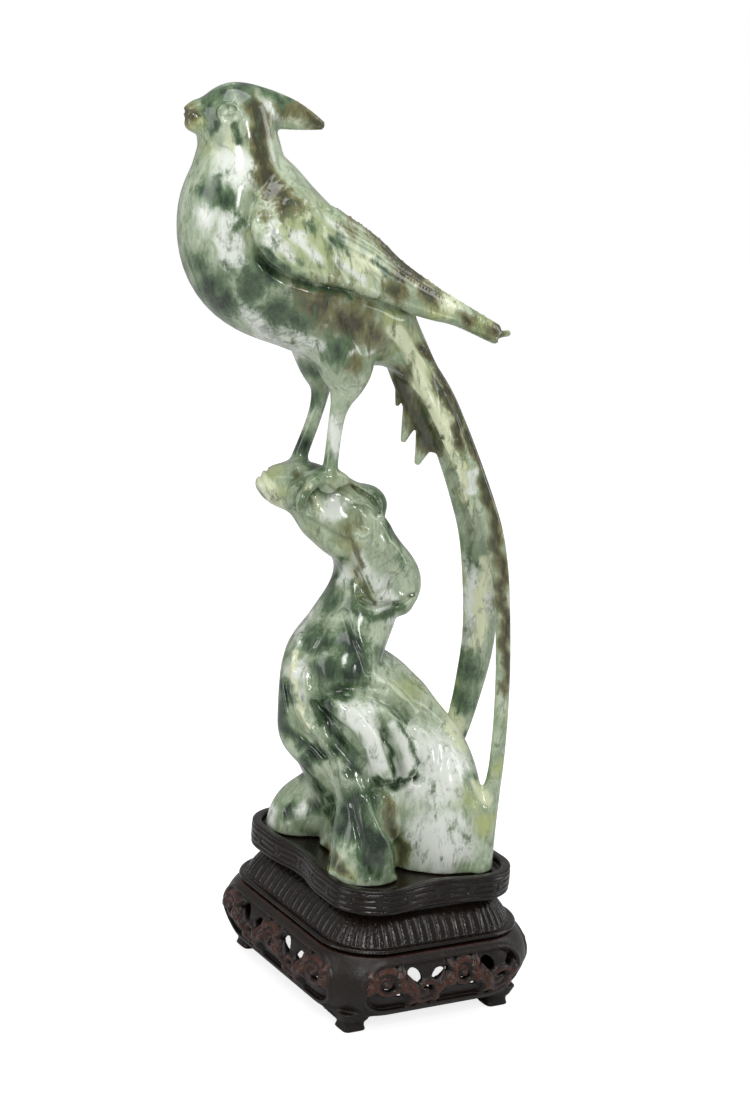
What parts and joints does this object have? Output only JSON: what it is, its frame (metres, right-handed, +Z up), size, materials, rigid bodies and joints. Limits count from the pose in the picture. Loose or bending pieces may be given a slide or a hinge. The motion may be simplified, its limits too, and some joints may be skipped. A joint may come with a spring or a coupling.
{
  "type": "jade bird carving on a carved wooden stand",
  "caption": "Long-tailed crested bird perched on a twisting rock, carved as one mottled green and white jade piece, resting in the lobed tray of a pierced dark wooden stand.",
  "frame": {"origin": "centre of the whole object's footprint box, at the underside of the stand's feet", "axes": "+Z up; the bird faces -X; -Y is the side nearer the camera in the picture"},
  "size_m": [0.1548, 0.1216, 0.3697],
  "materials": {
    "jade": "polished, mottled white, pale green and dark green with olive brown patches",
    "dark_wood": "dark stained and waxed, rubbed reddish brown on the raised scrolls"
  },
  "bodies": {
    "root": {"carved_jade_bird": "jade", "carved_wood_stand": "dark_wood"}
  },
  "joints": []
}
